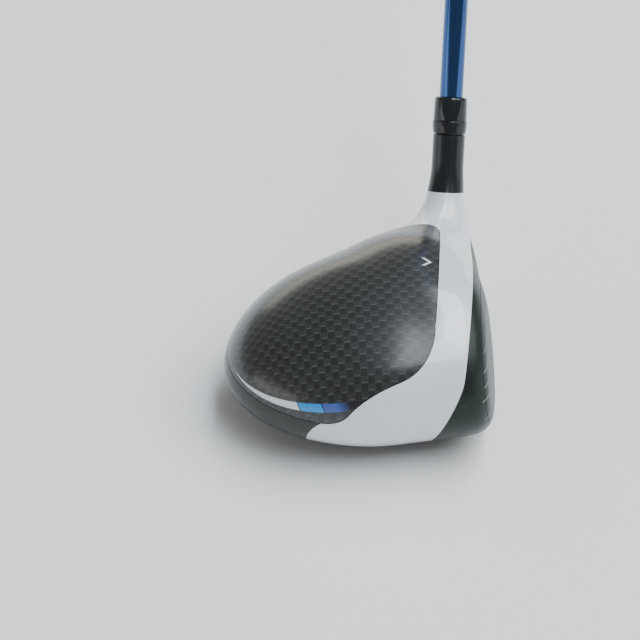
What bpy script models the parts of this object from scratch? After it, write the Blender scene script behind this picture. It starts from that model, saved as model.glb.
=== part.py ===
"""Golf driver: a hollow 460 cc head on a graphite shaft, with an adjustable loft sleeve.

Frame: metres, +Z up. The club is soled at address with its origin where the sole touches the
ground. +X is the direction of play (the face looks that way), +Y is the heel side, towards the
player, and the shaft leans up and back along +Y. The design is worked out in millimetres and
scaled to metres when a mesh is made.
"""

import math

import bmesh
import bpy
import numpy as np
from mathutils import Matrix, Vector

MM = 0.001  # metres in one millimetre

# --- Driving dimensions, in millimetres and degrees --------------------------------------------

LIE = 57.0  # the shaft's angle above the ground
LOFT = 10.5
CLUB_LENGTH = 1160.0  # along the shaft axis, from the ground to the butt
HOSEL_X, HOSEL_Y = 23.3, 35.3  # where the hosel's axis meets the ground

# Head outline seen from above: its radius every 30 degrees, from the front towards the heel
PLAN_RADII = (54.0, 48.0, 57.0, 57.0, 50.0, 56.0, 67.0, 68.0, 58.0, 51.5, 54.0, 64.0)
SKIRT_HEIGHT = 29.6  # height of the widest outline above the ground, at the head's centre
SKIRT_SLOPE = 0.1  # rise of that outline per mm towards the face
CROWN_RISE = 34.3  # crown above the widest outline
BODY_POWER, CROWN_POWER, SOLE_POWER = 2.37, 1.87, 2.09  # roundness of outline, crown and sole
SOLE_FLAT = 0.35  # the rounded sole is cut off this far up, which leaves the flat it rests on
FACE_X, FACE_Z = 41.4, 32.0  # the middle of the face
FACE_RADIUS = 300.0  # bulge and roll
FACE_BLEND = 7.0  # rounding from the face into the crown and sole
NECK_RADIUS, NECK_BLEND = 6.8, 28.0
NECK_START = 30.0  # distance up the hosel's axis where the neck begins to show
NECK_TOP = 64.1  # top of the cast neck, where the black hosel starts
FLARE, FLARE_TOP = 0.55, 76.0  # the neck and the foot of the hosel widen by FLARE below FLARE_TOP

WALL, CROWN_WALL, FACE_WALL, SOLE_WALL, SLOT_WALL = 1.3, 0.9, 2.6, 1.1, 2.0
GAP = 0.3  # between two pieces that touch
FACE_EDGE = 1.0  # how far inside the face's rounding the face plate ends

# Distances up the hosel's axis, and radii about it
PORT_RADIUS = 6.2  # the screw port in the sole
BORE_RADIUS = 5.65
BORE_START, BORE_FULL = 42.0, 52.0  # the neck's wall thickens here until it meets the bore
SLEEVE_START, SLEEVE_FLOOR = 52.6, 61.6
SLEEVE_RADIUS, SLEEVE_BORE = 5.35, 4.9
SCREW_RADIUS, SCREW_THREAD_BORE = 2.3, 2.65
SCREW_HEAD_START, SCREW_HEAD_RADIUS, SCREW_HEAD_HEIGHT = 24.0, 4.1, 4.5
SCREW_TOP = 59.0
WASHER_HEIGHT, WASHER_RADIUS = 1.2, 4.3
TUBE_START, TUBE_END, TUBE_RADIUS, TUBE_COUNTERBORE = 8.0, 44.0, 5.4, 4.75
HOSEL_RADIUS, HOSEL_TOP = 6.85, 88.5
COLLAR_RADIUS, COLLAR_TOP = 7.3, 94.3
FERRULE_LOW, FERRULE_HIGH, FERRULE_SHOULDER, FERRULE_TOP = 7.1, 6.9, 103.2, 104.3
SHAFT_TIP_RADIUS, SHAFT_RADIUS, SHAFT_BUTT_RADIUS, SHAFT_WALL = 4.6, 4.95, 7.6, 1.0
SHAFT_PARALLEL = 190.0  # the shaft keeps its tip radius up to here, then widens to the butt
SHAFT_INSERT = 62.0  # the shaft's tip end
GRIP_LENGTH, GRIP_CAP = 268.0, 4.0
GRIP_MOUTH_RADIUS, GRIP_BUTT_RADIUS = 9.6, 13.4
TAPE_THICKNESS = 0.3

# Rear weight, in the keel
WEIGHT_X, WEIGHT_Y = -50.0, -4.0
WEIGHT_HOLE, CUP_RADIUS, CUP_WALL, PUCK_RADIUS = 9.0, 8.3, 0.6, 7.3
PUCK_HEIGHT, CUP_DEPTH = 6.0, 10.0
WEIGHT_SCREW_RADIUS, WEIGHT_SCREW_HEAD = 1.9, 3.2

TURN_STEPS = 24  # sides of a turned piece
MARCH = 6.4  # grid step of the head's mesh
MARCH_FINE = 3.2  # grid step near the hosel and the slot

# --- Helpers: scene, materials, turned pieces --------------------------------------------------


def clear_scene():
    for obj in list(bpy.data.objects):
        bpy.data.objects.remove(obj, do_unlink=True)


def material(name, color, roughness, metallic=0.0):
    made = bpy.data.materials.new(name)
    made.use_nodes = True
    shader = made.node_tree.nodes["Principled BSDF"]
    shader.inputs["Base Color"].default_value = (*color, 1.0)
    shader.inputs["Roughness"].default_value = roughness
    shader.inputs["Metallic"].default_value = metallic
    return made


def add_object(name, mesh, made_of, parent=None):
    obj = bpy.data.objects.new(name, mesh)
    bpy.context.scene.collection.objects.link(obj)
    obj.data.materials.append(made_of)
    obj.parent = parent
    return obj


def axis_frame(name, origin, direction):
    """An empty at origin (mm) whose +Z lies along direction: turned pieces are parented to it."""
    empty = bpy.data.objects.new(name, None)
    bpy.context.scene.collection.objects.link(empty)
    turn = Vector(direction).to_track_quat("Z", "Y").to_matrix().to_4x4()
    empty.matrix_world = Matrix.Translation(Vector(origin) * MM) @ turn
    return empty


def turned(name, profile, made_of, parent, start=0.0, steps=TURN_STEPS):
    """A closed profile of (radius, height) in mm, spun about its parent's Z axis.

    Points at radius 0 are on the axis, so a profile that begins and ends there makes a solid
    piece, and one that stays off the axis makes a ring. start is the height of its origin.
    """
    mesh = bpy.data.meshes.new(name)
    made = bmesh.new()
    points = [made.verts.new((r * MM, 0.0, (h - start) * MM)) for r, h in profile]
    on_axis = profile[0][0] == 0.0
    ends = zip(points, points[1:] if on_axis else points[1:] + points[:1])
    edges = [made.edges.new(pair) for pair in ends]
    bmesh.ops.spin(
        made, geom=points + edges, cent=(0, 0, 0), axis=(0, 0, 1),
        angle=math.tau, steps=steps, use_merge=True,
    )
    bmesh.ops.remove_doubles(made, verts=made.verts, dist=1e-6)
    bmesh.ops.recalc_face_normals(made, faces=made.faces)
    made.to_mesh(mesh)
    made.free()
    mesh.shade_smooth()
    mesh.set_sharp_from_angle(angle=math.radians(35))
    obj = add_object(name, mesh, made_of, parent)
    obj.location = (0.0, 0.0, start * MM)
    return obj


def tube_profile(inner, outer, low, high):
    return [(outer, high), (outer, low), (inner, low), (inner, high)]


# --- The head's shape: a function that is negative inside and 0 on the surface ------------------

HOSEL_AXIS = np.array([0.0, math.cos(math.radians(LIE)), math.sin(math.radians(LIE))])
HOSEL_FOOT = np.array([HOSEL_X, HOSEL_Y, 0.0])


def smooth_min(a, b, width):
    share = np.clip(0.5 + 0.5 * (b - a) / width, 0.0, 1.0)
    return b * (1 - share) + a * share - width * share * (1 - share)


def smooth_max(a, b, width):
    return -smooth_min(-a, -b, width)


def plan_radius(angle):
    """The outline's radius at an angle: a wave through PLAN_RADII, evenly spaced round the head."""
    count = len(PLAN_RADII)
    waves = np.fft.rfft(PLAN_RADII) / count
    radius = np.full_like(angle, waves[0].real)
    for k in range(1, count // 2 + 1):
        share = 2.0 if k < count / 2 else 1.0
        radius += share * (waves[k].real * np.cos(k * angle) - waves[k].imag * np.sin(k * angle))
    return radius


def body_level(p):
    """0 on the rounded body without face or neck, growing outwards."""
    angle = np.arctan2(p[..., 1], p[..., 0])
    out = np.hypot(p[..., 0], p[..., 1]) / plan_radius(angle)
    skirt = SKIRT_HEIGHT + SKIRT_SLOPE * p[..., 0]
    above = np.clip((p[..., 2] - skirt) / CROWN_RISE, 0.0, None)
    below = np.clip((skirt - p[..., 2]) / (skirt + SOLE_FLAT), 0.0, None)
    total = out**BODY_POWER + above**CROWN_POWER + below**SOLE_POWER
    return total ** (1 / BODY_POWER) - 1


def gradient(function, p, step=0.05):
    parts = []
    for axis in np.eye(3):
        parts.append((function(p + axis * step) - function(p - axis * step)) / (2 * step))
    return np.stack(parts, axis=-1)


def body_distance(p):
    steepness = np.linalg.norm(gradient(body_level, p), axis=-1)
    return body_level(p) / np.maximum(steepness, 0.008)


def face_distance(p):
    """Signed distance to the bulged and rolled face."""
    loft = math.radians(LOFT)
    normal = np.array([math.cos(loft), 0.0, math.sin(loft)])
    centre = np.array([FACE_X, 0.0, FACE_Z]) - FACE_RADIUS * normal
    return np.linalg.norm(p - centre, axis=-1) - FACE_RADIUS


def along_hosel(p):
    return (p - HOSEL_FOOT) @ HOSEL_AXIS


def from_hosel(p):
    """Distance from the hosel's axis."""
    out = p - HOSEL_FOOT - along_hosel(p)[..., None] * HOSEL_AXIS
    return np.linalg.norm(out, axis=-1)


def flare(height):
    share = np.clip((FLARE_TOP - height) / (FLARE_TOP - NECK_TOP), 0.0, 1.0)
    return FLARE * share * share * (3 - 2 * share)


def head_distance(p):
    shell = smooth_max(body_distance(p), face_distance(p), FACE_BLEND)
    height = along_hosel(p)
    neck = smooth_max(from_hosel(p) - NECK_RADIUS - flare(height), NECK_START - height, 2.0)
    blended = smooth_min(shell, neck, NECK_BLEND)
    capped = np.maximum(blended, along_hosel(p) - NECK_TOP - 12.0)
    return np.maximum(capped, -p[..., 2])


def head_normal(p):
    slope = gradient(head_distance, p)
    return slope / np.linalg.norm(slope, axis=-1)[..., None]


def onto_surface(p, rounds=4):
    for _ in range(rounds):
        slope = gradient(head_distance, p)
        p = p - (head_distance(p) / (slope**2).sum(-1))[..., None] * slope
    return p


# --- Seams: each is negative inside its own piece ----------------------------------------------


def rounded_box(p, centre, half, radius):
    """Signed distance in plan to a box with rounded corners."""
    dx = np.abs(p[..., 0] - centre[0]) - half[0] + radius
    dy = np.abs(p[..., 1] - centre[1]) - half[1] + radius
    outside = np.hypot(np.maximum(dx, 0), np.maximum(dy, 0))
    return outside + np.minimum(np.maximum(dx, dy), 0) - radius


def crown_seam(p):
    x, y, z = p[..., 0], p[..., 1], p[..., 2]
    front = 0.998 * x - 0.07 * y - 16.5
    toe = 0.313 * x - 0.95 * y - 42.7
    heel = y - 47.6
    rear = 28.8 - z
    seam = smooth_max(front, toe, 12.0)
    seam = smooth_max(seam, heel, 8.0)
    return smooth_max(seam, rear, 6.0)


def face_seam(p):
    """The face plate is where the face itself, not its rounding, is the surface."""
    return body_distance(p) - face_distance(p) + FACE_EDGE


def underside(p, height):
    """Keeps a plan shape to the sole."""
    return p[..., 2] - height


def toe_panel_seam(p):
    return np.maximum(rounded_box(p, (-20.0, -28.0), (20.0, 13.0), 7.0), underside(p, 18.0))


def heel_panel_seam(p):
    return np.maximum(rounded_box(p, (-16.0, 27.0), (17.0, 12.0), 7.0), underside(p, 18.0))


def slot_seam(p):
    return np.maximum(rounded_box(p, (25.5, -2.0), (3.0, 20.0), 3.0), underside(p, 12.0))


def weight_seam(p):
    plan = p - WEIGHT_AT
    plan = plan - (plan @ WEIGHT_AXIS)[..., None] * WEIGHT_AXIS
    return np.maximum(np.linalg.norm(plan, axis=-1) - WEIGHT_HOLE, underside(p, 25.0))


def port_seam(p):
    return np.maximum(from_hosel(p) - PORT_RADIUS, underside(p, 33.0))


def neck_seam(p):
    """Negative above the cast neck, where the black hosel takes over."""
    return NECK_TOP - along_hosel(p)


def surface_below(x, y):
    """The sole's point and outward normal under a plan position."""
    p = np.array([x, y, 0.0])
    for _ in range(12):
        p = p + np.array([0.0, 0.0, 1.0]) * head_distance(p)
    return p, head_normal(p)


# --- The head's mesh ----------------------------------------------------------------------------


def graded(low, high, fine_low, fine_high):
    """Grid lines MARCH apart, and MARCH_FINE apart between fine_low and fine_high."""
    lines = [low]
    while lines[-1] < high:
        fine = fine_low <= lines[-1] + MARCH_FINE / 2 < fine_high
        lines.append(lines[-1] + (MARCH_FINE if fine else MARCH))
    return np.array(lines)


def surface_net(lines):
    """A closed quad mesh of the head: one vertex in each grid cell that the surface crosses."""
    grid = np.stack(np.meshgrid(*lines, indexing="ij"), axis=-1)
    level = head_distance(grid)
    inside = level < 0
    cells = np.array(level.shape) - 1
    total = np.zeros((*cells, 3))
    crossings = np.zeros(cells)
    for axis in range(3):
        low = [slice(None)] * 3
        high = [slice(None)] * 3
        low[axis], high[axis] = slice(0, -1), slice(1, None)
        low, high = tuple(low), tuple(high)
        crossed = inside[low] != inside[high]
        step = level[low] - level[high]
        share = np.where(crossed, level[low] / np.where(crossed, step, 1.0), 0.0)
        points = grid[low] + share[..., None] * (grid[high] - grid[low])
        sides = [k for k in range(3) if k != axis]
        for first in (0, 1):
            for second in (0, 1):
                part = [slice(None)] * 3
                part[sides[0]] = slice(first, cells[sides[0]] + first)
                part[sides[1]] = slice(second, cells[sides[1]] + second)
                part = tuple(part)
                total += np.where(crossed[part][..., None], points[part], 0.0)
                crossings += crossed[part]
    active = crossings > 0
    index = np.full(active.shape, -1)
    index[active] = np.arange(active.sum())
    verts = total[active] / crossings[active][:, None]
    return onto_surface(verts), net_quads(inside, index)


def net_quads(inside, index):
    """A quad round each grid edge whose two ends lie on different sides of the surface."""
    quads = []
    for axis in range(3):
        first, second = [(1, 2), (2, 0), (0, 1)][axis]
        low = [slice(None)] * 3
        high = [slice(None)] * 3
        low[axis], high[axis] = slice(0, -1), slice(1, None)
        crossed = inside[tuple(low)] != inside[tuple(high)]
        for cell in np.argwhere(crossed):
            ring = []
            for a, b in ((0, 0), (1, 0), (1, 1), (0, 1)):
                at = cell.copy()
                at[first] -= 1 - a
                at[second] -= 1 - b
                ring.append(index[tuple(at)])
            quads.append(ring if inside[tuple(cell)] else ring[::-1])
    return np.array(quads)


def split_quads(verts, quads):
    """Two triangles from each quad, along its shorter diagonal."""
    first = np.linalg.norm(verts[quads[:, 0]] - verts[quads[:, 2]], axis=1)
    second = np.linalg.norm(verts[quads[:, 1]] - verts[quads[:, 3]], axis=1)
    short = first <= second
    one, two = quads[short], quads[~short]
    return np.concatenate([one[:, [0, 1, 2]], one[:, [0, 2, 3]], two[:, [0, 1, 3]], two[:, [1, 2, 3]]])


def along_surface(seam, p):
    """The seam function's slope within the head's surface."""
    slope = gradient(seam, p)
    normal = head_normal(p)
    return slope - (slope * normal).sum(-1)[..., None] * normal


def onto_seam(seam, p, rounds=4):
    for _ in range(rounds):
        slope = along_surface(seam, p)
        p = p - (seam(p) / np.maximum((slope**2).sum(-1), 1e-4))[..., None] * slope
        p = onto_surface(p, rounds=2)
    return p


def cut(verts, faces, on_seam, seam, number, reach):
    """Runs an edge loop along a seam: near vertices move onto it, and the other edges are cut."""
    level = seam(verts)
    shortest = shortest_edges(verts, faces)
    near = (np.abs(level) < reach * shortest) & (on_seam < 0)
    verts[near] = onto_seam(seam, verts[near])
    level = seam(verts)
    level[near] = 0.0
    on_seam[near] = number
    side = np.sign(level)
    mids = {}
    added = []
    made = []
    for face in faces:
        signs = side[face]
        if signs.min() >= 0 or signs.max() <= 0:
            made.append(tuple(face))
            continue
        made.extend(split_face(face, signs, verts, level, mids, added))
    if added:
        points = onto_seam(seam, np.array(added))
        verts = np.concatenate([verts, points])
        on_seam = np.concatenate([on_seam, np.full(len(points), number)])
    return verts, np.array(made), on_seam


def shortest_edges(verts, faces):
    found = np.full(len(verts), np.inf)
    for a, b in ((0, 1), (1, 2), (2, 0)):
        length = np.linalg.norm(verts[faces[:, a]] - verts[faces[:, b]], axis=1)
        np.minimum.at(found, faces[:, a], length)
        np.minimum.at(found, faces[:, b], length)
    return found


def split_face(face, signs, verts, level, mids, added):
    """The two or three triangles that a seam leaves of one it crosses."""

    def middle(a, b):
        key = (min(a, b), max(a, b))
        if key not in mids:
            share = level[a] / (level[a] - level[b])
            mids[key] = len(verts) + len(added)
            added.append(verts[a] + share * (verts[b] - verts[a]))
        return mids[key]

    if 0 in signs:
        turn = int(np.where(signs == 0)[0][0])
        a, b, c = np.roll(face, -turn)
        m = middle(b, c)
        return [(a, b, m), (a, m, c)]
    alone = 1 if (signs > 0).sum() == 1 else -1
    turn = int(np.where(signs == alone)[0][0])
    a, b, c = np.roll(face, -turn)
    ab, ac = middle(a, b), middle(a, c)
    return [(a, ab, ac), (ab, b, c), (ab, c, ac)]


SEAMS = {
    "crown_panel": crown_seam,
    "face_plate": face_seam,
    "sole_toe_panel": toe_panel_seam,
    "sole_heel_panel": heel_panel_seam,
    "slot_insert": slot_seam,
    "weight_hole": weight_seam,
    "screw_port": port_seam,
    "above_neck": neck_seam,
}


def head_mesh():
    """Every region of the head's skin in one mesh, and each face's region by its seam's name."""
    lines = [
        graded(-88.0, 52.0, 13.0, 33.0),
        graded(-72.0, 90.0, 36.0, 70.0),
        graded(-6.0, 82.0, 34.0, 60.0),
    ]
    verts, quads = surface_net(lines)
    faces = split_quads(verts, quads)
    on_seam = np.full(len(verts), -1)
    for number, seam in enumerate(SEAMS.values()):
        verts, faces, on_seam = cut(verts, faces, on_seam, seam, number, reach=0.3)
    region = np.full(len(faces), -1)
    for number, seam in enumerate(SEAMS.values()):
        level = seam(verts)
        level[on_seam == number] = 0.0
        region[level[faces].mean(axis=1) < 0] = number
    return verts, faces, on_seam, region


def shell(name, skin, number, wall, made_of, parent):
    """One region of the skin as a closed piece: drawn back from its seams and given a wall."""
    verts, faces, on_seam, region = skin
    used, faces = np.unique(faces[region == number], return_inverse=True)
    faces = faces.reshape(-1, 3)
    points = verts[used]
    seams = list(SEAMS.values())
    directed = {(a, b) for tri in faces for a, b in zip(tri, np.roll(tri, -1))}
    rim = [(a, b) for a, b in directed if (b, a) not in directed]
    rim.sort()
    for number_here in set(on_seam[used]) - {-1}:
        at = np.array(sorted({a for a, _ in rim if on_seam[used[a]] == number_here}), dtype=int)
        if not len(at):
            continue
        away = along_surface(seams[number_here], points[at])
        away /= np.linalg.norm(away, axis=1)[:, None]
        way = -1.0 if number_here == number else 1.0
        points[at] = onto_surface(points[at] + way * away * GAP / 2)
    inner = inner_points(points, wall, number)
    count = len(points)
    mesh = bpy.data.meshes.new(name)
    sides = [(b, a, a + count, b + count) for a, b in rim]
    lining = (faces[:, ::-1] + count).tolist()
    mesh.from_pydata((np.concatenate([points, inner]) * MM).tolist(), [], faces.tolist() + sides + lining)
    mesh.shade_smooth()
    mesh.set_sharp_from_angle(angle=math.radians(35))
    return add_object(name, mesh, made_of, parent)


def inner_points(points, wall, number):
    """The lining: a wall's thickness in, and in the neck the bore that the sleeve slides in."""
    inner = points - wall * head_normal(points)
    if number != -1:
        return inner
    height = along_hosel(points)
    share = np.clip((height - BORE_START) / (BORE_FULL - BORE_START), 0.0, 1.0)
    share = np.where(from_hosel(points) < 20.0, share * share * (3 - 2 * share), 0.0)
    on_axis = HOSEL_FOOT + height[:, None] * HOSEL_AXIS
    outwards = (points - on_axis) / np.maximum(from_hosel(points), 0.1)[:, None]
    bore = on_axis + outwards * BORE_RADIUS
    return inner + share[:, None] * (bore - inner)


# --- Sub-parts ----------------------------------------------------------------------------------


def build_head(paint, carbon, titanium, resin, parent):
    skin = head_mesh()
    names = list(SEAMS)
    shell("body_frame", skin, -1, WALL, paint, parent)
    shell("crown_panel", skin, names.index("crown_panel"), CROWN_WALL, carbon, parent)
    shell("face_plate", skin, names.index("face_plate"), FACE_WALL, titanium, parent)
    shell("sole_toe_panel", skin, names.index("sole_toe_panel"), SOLE_WALL, carbon, parent)
    shell("sole_heel_panel", skin, names.index("sole_heel_panel"), SOLE_WALL, carbon, parent)
    shell("slot_insert", skin, names.index("slot_insert"), SLOT_WALL, resin, parent)


def build_hosel(black, titanium, parent):
    """The black upper hosel, and the tube inside the head that the sleeve's screw seats in."""
    low = NECK_TOP + GAP
    profile = [(BORE_RADIUS, HOSEL_TOP), (HOSEL_RADIUS, HOSEL_TOP)]
    for height in np.linspace(FLARE_TOP, low, 5):
        profile.append((HOSEL_RADIUS + float(flare(height)), float(height)))
    profile.append((BORE_RADIUS, low))
    turned("hosel", profile, black, parent)
    seat = SCREW_HEAD_START + SCREW_HEAD_HEIGHT + WASHER_HEIGHT + 2 * GAP
    through = SCREW_THREAD_BORE
    profile = [
        (TUBE_RADIUS, TUBE_END), (TUBE_RADIUS, TUBE_START), (TUBE_COUNTERBORE, TUBE_START),
        (TUBE_COUNTERBORE, seat), (through, seat), (through, TUBE_END),
    ]
    tube = turned("bore_tube", profile, titanium, parent, steps=20)
    trim_to_sole(tube)


def trim_to_sole(tube):
    """Cuts the tube's lower end off slantwise, just inside the sole's surface."""
    foot = HOSEL_FOOT.copy()
    for _ in range(12):
        foot = foot - head_distance(foot) * head_normal(foot) @ HOSEL_AXIS * HOSEL_AXIS
    normal = head_normal(foot)
    size = 60.0
    mesh = bpy.data.meshes.new("port_cutter")
    made = bmesh.new()
    bmesh.ops.create_cube(made, size=size * MM)
    made.to_mesh(mesh)
    made.free()
    cutter = bpy.data.objects.new("port_cutter", mesh)
    bpy.context.scene.collection.objects.link(cutter)
    turn = Vector(normal).to_track_quat("Z", "Y").to_matrix().to_4x4()
    middle = foot + normal * (size / 2 - WALL)
    cutter.matrix_world = Matrix.Translation(Vector(middle) * MM) @ turn
    cutter.hide_render = True
    cutter.display_type = "WIRE"
    trim = tube.modifiers.new("trim", "BOOLEAN")
    trim.object = cutter
    trim.operation = "DIFFERENCE"


def build_screw(steel, parent):
    head_top = SCREW_HEAD_START + SCREW_HEAD_HEIGHT
    socket_depth, socket = 2.6, 2.0
    profile = [
        (0.0, SCREW_TOP), (SCREW_RADIUS - 0.4, SCREW_TOP), (SCREW_RADIUS, SCREW_TOP - 0.6),
        (SCREW_RADIUS, head_top), (SCREW_HEAD_RADIUS, head_top),
        (SCREW_HEAD_RADIUS, SCREW_HEAD_START + 0.4), (SCREW_HEAD_RADIUS - 0.4, SCREW_HEAD_START),
        (socket, SCREW_HEAD_START), (socket, SCREW_HEAD_START + socket_depth),
        (0.0, SCREW_HEAD_START + socket_depth),
    ]
    turned("adapter_screw", profile, steel, parent, start=SCREW_HEAD_START, steps=18)
    low = head_top + GAP
    ring = tube_profile(SCREW_THREAD_BORE, WASHER_RADIUS, low, low + WASHER_HEIGHT - GAP)
    turned("screw_washer", ring, steel, parent, start=low, steps=18)


def build_screw_retainer(rubber, parent):
    """The rubber ring that keeps the undone screw in the head."""
    low = TUBE_END + 1.0
    ring = tube_profile(SCREW_RADIUS + GAP, SCREW_RADIUS + 1.5, low, low + 1.4)
    turned("screw_retainer", ring, rubber, parent, start=low, steps=16)


def build_sleeve(grey, black, parent):
    collar_low = HOSEL_TOP + GAP
    profile = [
        (SLEEVE_BORE, COLLAR_TOP), (COLLAR_RADIUS - 0.35, COLLAR_TOP),
        (COLLAR_RADIUS, COLLAR_TOP - 1.6), (COLLAR_RADIUS, collar_low + 1.8),
        (COLLAR_RADIUS - 0.45, collar_low), (SLEEVE_RADIUS, collar_low),
        (SLEEVE_RADIUS, SLEEVE_START + 0.8), (SLEEVE_RADIUS - 0.8, SLEEVE_START),
        (SCREW_THREAD_BORE, SLEEVE_START), (SCREW_THREAD_BORE, SLEEVE_FLOOR),
        (SLEEVE_BORE, SLEEVE_FLOOR),
    ]
    turned("loft_sleeve", profile, grey, parent)
    bore = SHAFT_RADIUS + GAP
    profile = [
        (bore, FERRULE_TOP), (FERRULE_HIGH - 0.9, FERRULE_TOP), (FERRULE_HIGH - 0.25, FERRULE_TOP - 0.8),
        (FERRULE_HIGH, FERRULE_SHOULDER), (FERRULE_LOW, COLLAR_TOP + GAP + 0.5),
        (FERRULE_LOW, COLLAR_TOP + GAP), (bore, COLLAR_TOP + GAP),
    ]
    turned("ferrule", profile, black, parent)


def shaft_radius(height):
    """The shaft's outer radius: parallel above the ferrule, then a steady taper to the butt."""
    if height < COLLAR_TOP:
        return SHAFT_TIP_RADIUS
    share = max(0.0, (height - SHAFT_PARALLEL) / (CLUB_LENGTH - SHAFT_PARALLEL))
    return SHAFT_RADIUS + (SHAFT_BUTT_RADIUS - SHAFT_RADIUS) * share


def build_shaft(lacquer, foam, parent):
    butt = CLUB_LENGTH - GRIP_CAP - GAP
    step = COLLAR_TOP + 2.0
    heights = [butt, (butt + SHAFT_PARALLEL) / 2, SHAFT_PARALLEL, step]
    outer = [(shaft_radius(h), h) for h in heights]
    outer += [(SHAFT_TIP_RADIUS, step - 1.5), (SHAFT_TIP_RADIUS, SHAFT_INSERT)]
    inner = [(r - SHAFT_WALL, h) for r, h in (outer[-1], outer[2], outer[0])]
    turned("shaft", outer + inner, lacquer, parent)
    plug = SHAFT_TIP_RADIUS - SHAFT_WALL - GAP
    low, high = SHAFT_INSERT + 0.5, SHAFT_INSERT + 12.0
    profile = [(0.0, high), (plug, high), (plug, low), (0.0, low)]
    turned("shaft_tip_plug", profile, foam, parent, start=low, steps=14)


def build_grip(rubber, tape_grey, cap_black, parent):
    butt = CLUB_LENGTH - GRIP_CAP
    mouth = butt - GRIP_LENGTH
    tape_low, tape_high = mouth + 6.0, butt - 2.0
    under_tape = [shaft_radius(h) + GAP for h in (tape_low, tape_high)]
    tape = [
        (under_tape[1] + TAPE_THICKNESS, tape_high), (under_tape[0] + TAPE_THICKNESS, tape_low),
        (under_tape[0], tape_low), (under_tape[1], tape_high),
    ]
    turned("grip_tape", tape, tape_grey, parent)
    bore = [r + TAPE_THICKNESS + GAP for r in under_tape]
    profile = [
        (GRIP_BUTT_RADIUS, butt - GAP), (GRIP_BUTT_RADIUS - 1.3, butt - 70.0),
        (GRIP_MOUTH_RADIUS + 0.7, mouth + 90.0), (GRIP_MOUTH_RADIUS, mouth + 2.0),
        (GRIP_MOUTH_RADIUS - 0.8, mouth), (bore[0], mouth), (bore[1], butt - GAP),
    ]
    turned("grip", profile, rubber, parent)
    rounding, vent = 1.6, 1.5
    profile = [
        (vent, CLUB_LENGTH), (GRIP_BUTT_RADIUS - rounding, CLUB_LENGTH),
        (GRIP_BUTT_RADIUS, CLUB_LENGTH - rounding), (GRIP_BUTT_RADIUS, butt), (vent, butt),
    ]
    turned("grip_end_cap", profile, cap_black, parent, start=butt)


def build_weight(titanium, steel, parent):
    """A cup in the keel, the puck that sits in it and the screw that holds it. Height 0 is the sole."""
    low = -0.3
    floor = CUP_DEPTH - 1.2
    boss = WEIGHT_SCREW_RADIUS + GAP
    cup = [
        (CUP_RADIUS, CUP_DEPTH), (CUP_RADIUS, -low), (CUP_RADIUS - CUP_WALL, -low),
        (CUP_RADIUS - CUP_WALL, floor), (boss, floor), (boss, CUP_DEPTH),
    ]
    turned("weight_cup", cup, titanium, parent, steps=20)
    seat = 3.0
    puck = [
        (PUCK_RADIUS, PUCK_HEIGHT), (PUCK_RADIUS, 1.2), (PUCK_RADIUS - 0.8, 0.4),
        (WEIGHT_SCREW_HEAD + GAP, 0.4), (WEIGHT_SCREW_HEAD + GAP, seat),
        (boss, seat), (boss, PUCK_HEIGHT),
    ]
    turned("rear_weight", puck, steel, parent, start=0.4, steps=20)
    head_low = 0.6
    screw = [
        (0.0, CUP_DEPTH + 3.0), (WEIGHT_SCREW_RADIUS, CUP_DEPTH + 3.0),
        (WEIGHT_SCREW_RADIUS, seat - GAP), (WEIGHT_SCREW_HEAD, seat - GAP),
        (WEIGHT_SCREW_HEAD, head_low), (1.6, head_low), (1.6, head_low + 1.2), (0.0, head_low + 1.2),
    ]
    turned("weight_screw", screw, steel, parent, start=head_low, steps=16)


WEIGHT_AT, WEIGHT_NORMAL = surface_below(WEIGHT_X, WEIGHT_Y)
WEIGHT_AXIS = -WEIGHT_NORMAL  # into the head


def main():
    clear_scene()
    white = material("paint_white", (0.78, 0.79, 0.80), 0.25)
    gloss_black = material("gloss_black", (0.012, 0.013, 0.014), 0.15)
    carbon = material("carbon", (0.035, 0.037, 0.04), 0.3)
    titanium = material("titanium", (0.09, 0.10, 0.10), 0.35, 0.8)
    steel = material("steel", (0.45, 0.46, 0.48), 0.3, 1.0)
    sleeve_grey = material("sleeve_black", (0.02, 0.021, 0.023), 0.3, 0.4)
    lacquer = material("shaft_blue", (0.03, 0.10, 0.26), 0.25, 0.6)
    rubber = material("grip_rubber", (0.02, 0.02, 0.022), 0.8)
    resin = material("slot_resin", (0.02, 0.12, 0.35), 0.5)
    tape = material("tape", (0.6, 0.6, 0.58), 0.8)
    foam = material("foam", (0.7, 0.68, 0.6), 0.9)

    hosel_axis = axis_frame("hosel_axis", HOSEL_FOOT, HOSEL_AXIS)
    weight_axis = axis_frame("weight_axis", WEIGHT_AT, WEIGHT_AXIS)
    build_head(white, carbon, titanium, resin, None)
    build_hosel(gloss_black, titanium, hosel_axis)
    build_screw(steel, hosel_axis)
    build_screw_retainer(rubber, hosel_axis)
    build_sleeve(sleeve_grey, gloss_black, hosel_axis)
    build_shaft(lacquer, foam, hosel_axis)
    build_grip(rubber, tape, gloss_black, hosel_axis)
    build_weight(titanium, steel, weight_axis)


main()
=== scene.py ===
"""Looks for the golf driver: fine skins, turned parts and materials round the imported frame.

The head's skin is meshed here again, finely, from the same shape function that the solids came
from. Lengths are in millimetres until a mesh is made, and MM turns them into metres.
"""

import math

import bmesh
import bpy
import numpy as np
from mathutils import Matrix, Vector


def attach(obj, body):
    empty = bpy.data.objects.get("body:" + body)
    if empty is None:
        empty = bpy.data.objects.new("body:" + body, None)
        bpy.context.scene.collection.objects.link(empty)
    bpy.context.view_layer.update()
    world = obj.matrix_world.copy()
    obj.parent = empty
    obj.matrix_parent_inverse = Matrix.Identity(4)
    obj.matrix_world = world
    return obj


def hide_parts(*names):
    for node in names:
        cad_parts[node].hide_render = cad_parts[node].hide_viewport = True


MM = 0.001

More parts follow.
